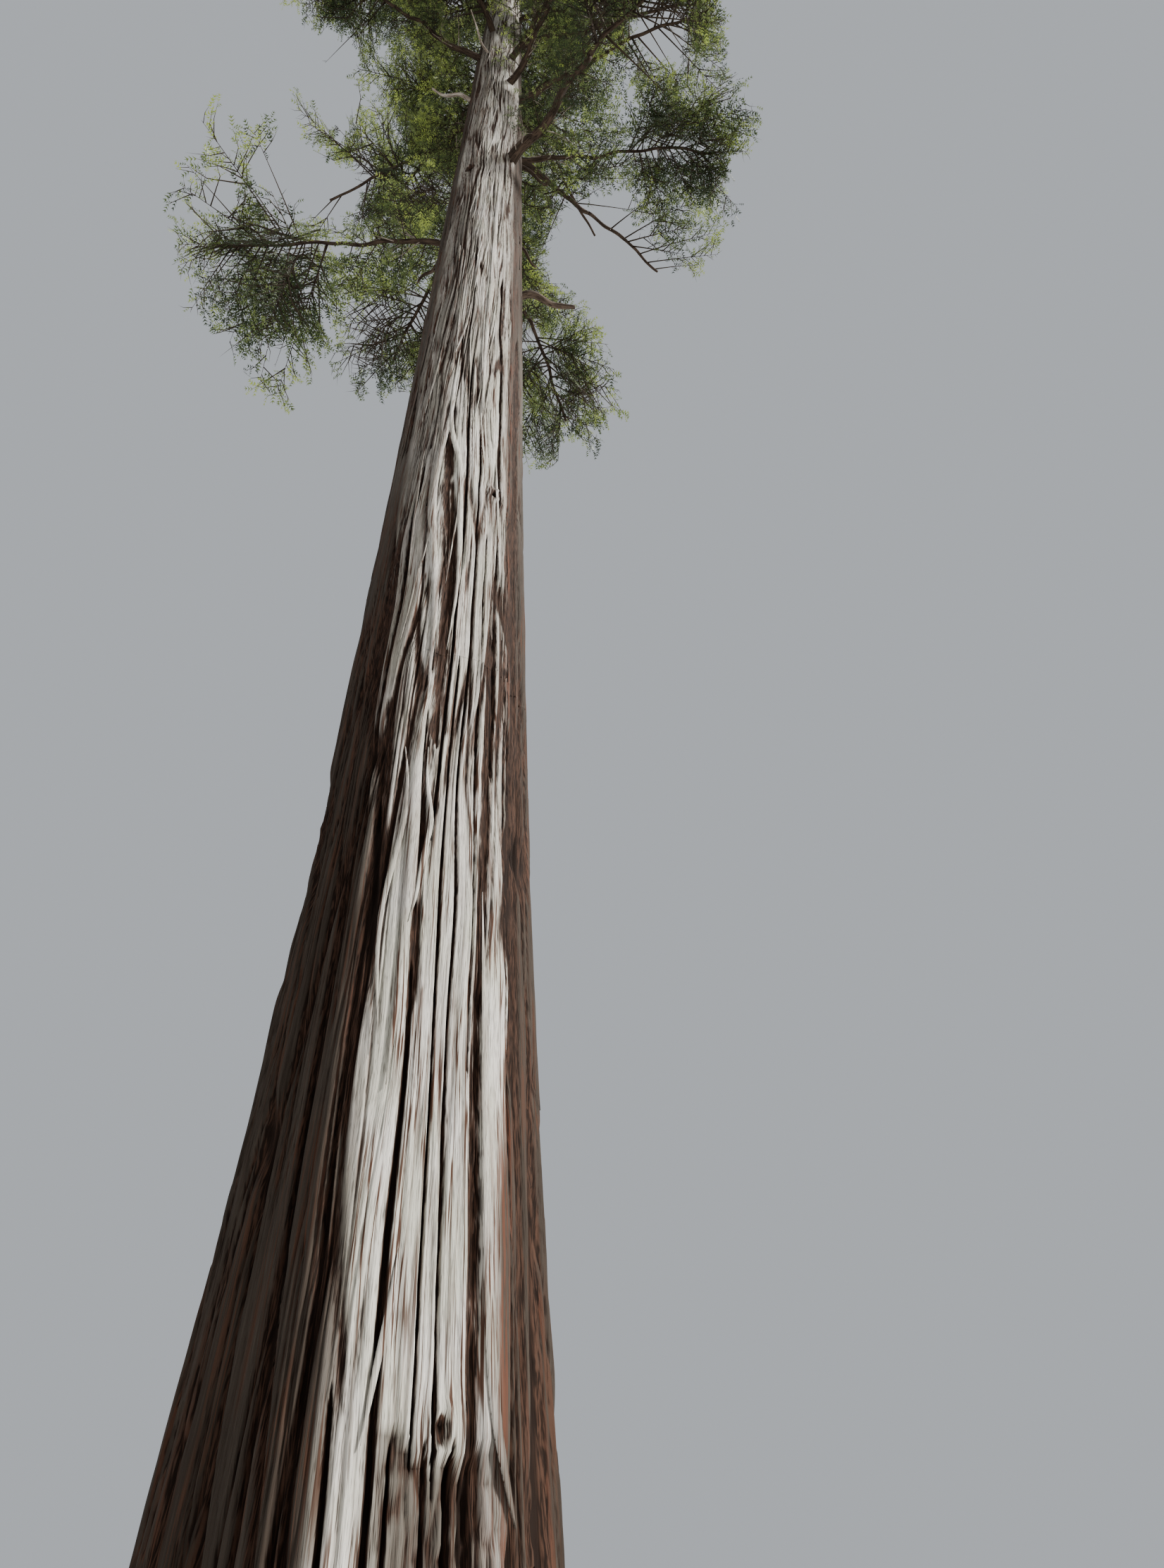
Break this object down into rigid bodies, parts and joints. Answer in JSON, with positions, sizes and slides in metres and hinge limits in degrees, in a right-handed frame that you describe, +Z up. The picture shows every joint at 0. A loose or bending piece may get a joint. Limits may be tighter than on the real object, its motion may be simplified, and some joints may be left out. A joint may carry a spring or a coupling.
{
  "type": "redwood tree",
  "caption": "Very tall conifer with a fluted, leaning, tapering trunk, a high narrow crown of boughs and needle sprays, and dead stubs.",
  "frame": {"origin": "centre of the flat cut under the trunk, at ground level", "axes": "+Z up; the trunk leans towards +X; the picture looks roughly along +Y"},
  "size_m": [7.9113, 7.012, 40],
  "materials": {
    "bark": "fibrous ridged bark",
    "limb_bark": "rough bark",
    "dead_wood": "weathered",
    "needles": "soft needles"
  },
  "bodies": {
    "root": {"bough_back_high": "limb_bark", "bough_back_left": "limb_bark", "bough_back_low": "limb_bark", "bough_back_mid": "limb_bark", "bough_back_right": "limb_bark", "bough_front_high": "limb_bark", "bough_front_mid": "limb_bark", "bough_left_back": "limb_bark", "bough_left_high": "limb_bark", "bough_left_low": "limb_bark", "bough_left_mid": "limb_bark", "bough_right_high": "limb_bark", "bough_right_low": "limb_bark", "bough_right_mid": "limb_bark", "bough_right_thin": "limb_bark", "foliage_back_high": "needles", "foliage_back_left": "needles", "foliage_back_low": "needles", "foliage_back_mid": "needles", "foliage_back_right": "needles", "foliage_front_high": "needles", "foliage_front_mid": "needles", "foliage_left_back": "needles", "foliage_left_high": "needles", "foliage_left_low": "needles", "foliage_left_mid": "needles", "foliage_right_high": "needles", "foliage_right_low": "needles", "foliage_right_mid": "needles", "foliage_right_thin": "needles", "foliage_upper_01": "needles", "foliage_upper_02": "needles", "foliage_upper_03": "needles", "foliage_upper_04": "needles", "foliage_upper_05": "needles", "foliage_upper_06": "needles", "foliage_upper_07": "needles", "foliage_upper_08": "needles", "foliage_upper_09": "needles", "foliage_upper_10": "needles", "foliage_upper_11": "needles", "foliage_upper_12": "needles", "foliage_upper_13": "needles", "foliage_upper_14": "needles", "foliage_upper_15": "needles", "foliage_upper_16": "needles", "foliage_upper_17": "needles", "foliage_upper_18": "needles", "foliage_upper_19": "needles", "foliage_upper_20": "needles", "foliage_upper_21": "needles", "foliage_upper_22": "needles", "foliage_upper_23": "needles", "snag_silver": "dead_wood", "stub_droop": "dead_wood", "stub_hanging": "dead_wood", "stub_right": "dead_wood", "stub_silver": "dead_wood", "stub_small": "dead_wood", "trunk": "bark"}
  },
  "joints": []
}
